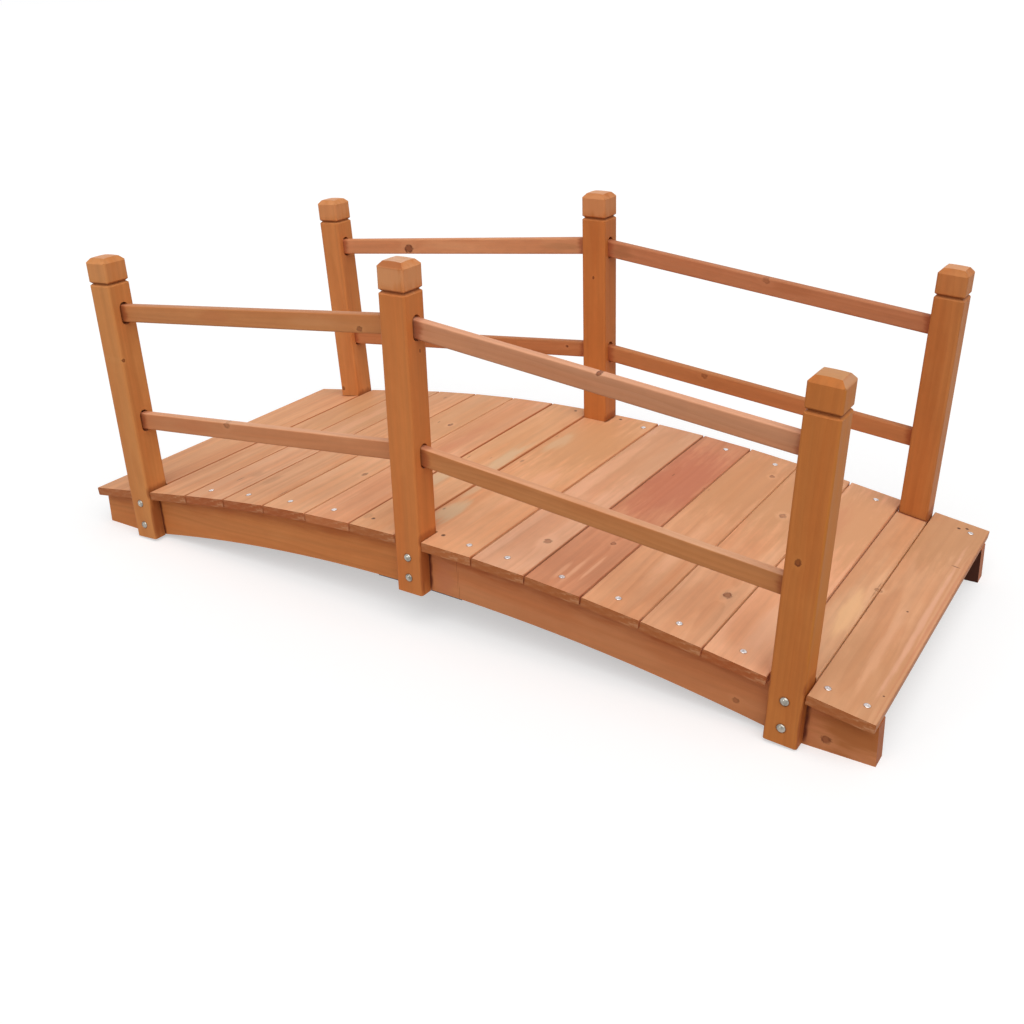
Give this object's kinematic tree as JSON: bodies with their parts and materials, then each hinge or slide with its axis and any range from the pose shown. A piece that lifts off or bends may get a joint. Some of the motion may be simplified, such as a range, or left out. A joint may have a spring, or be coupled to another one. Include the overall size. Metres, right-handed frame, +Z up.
{
  "type": "garden moon bridge",
  "caption": "Small arched timber garden footbridge with board deck, grooved square posts and twin sloping rails.",
  "frame": {"origin": "middle of the footprint on the ground, under the crown of the arch", "axes": "+X along the walkway, +Y across it from the near side to the far side, +Z up"},
  "size_m": [1.4, 0.6, 0.56],
  "materials": {
    "frame_wood": "satin brown stained softwood",
    "post_wood": "satin brown stained softwood",
    "rail_wood": "satin brown stained softwood",
    "deck_wood": "matt pinkish brown stained softwood",
    "strap_steel": "satin dark coating"
  },
  "bodies": {
    "root": {"stringer_near_left": "frame_wood", "stringer_near_right": "frame_wood", "stringer_far_left": "frame_wood", "stringer_far_right": "frame_wood", "strap_near": "strap_steel", "strap_far": "strap_steel", "post_near_left": "post_wood", "post_near_middle": "post_wood", "post_near_right": "post_wood", "post_far_left": "post_wood", "post_far_middle": "post_wood", "post_far_right": "post_wood", "rail_near_left_upper": "rail_wood", "rail_near_left_lower": "rail_wood", "rail_near_right_upper": "rail_wood", "rail_near_right_lower": "rail_wood", "rail_far_left_upper": "rail_wood", "rail_far_left_lower": "rail_wood", "rail_far_right_upper": "rail_wood", "rail_far_right_lower": "rail_wood", "deck_board_1": "deck_wood", "deck_board_2": "deck_wood", "deck_board_3": "deck_wood", "deck_board_4": "deck_wood", "deck_board_5": "deck_wood", "deck_board_6": "deck_wood", "deck_board_7": "deck_wood", "deck_board_8": "deck_wood", "deck_board_9": "deck_wood", "deck_board_10": "deck_wood", "deck_board_11": "deck_wood", "deck_board_12": "deck_wood", "deck_board_13": "deck_wood", "deck_board_14": "deck_wood", "deck_board_15": "deck_wood"}
  },
  "joints": []
}
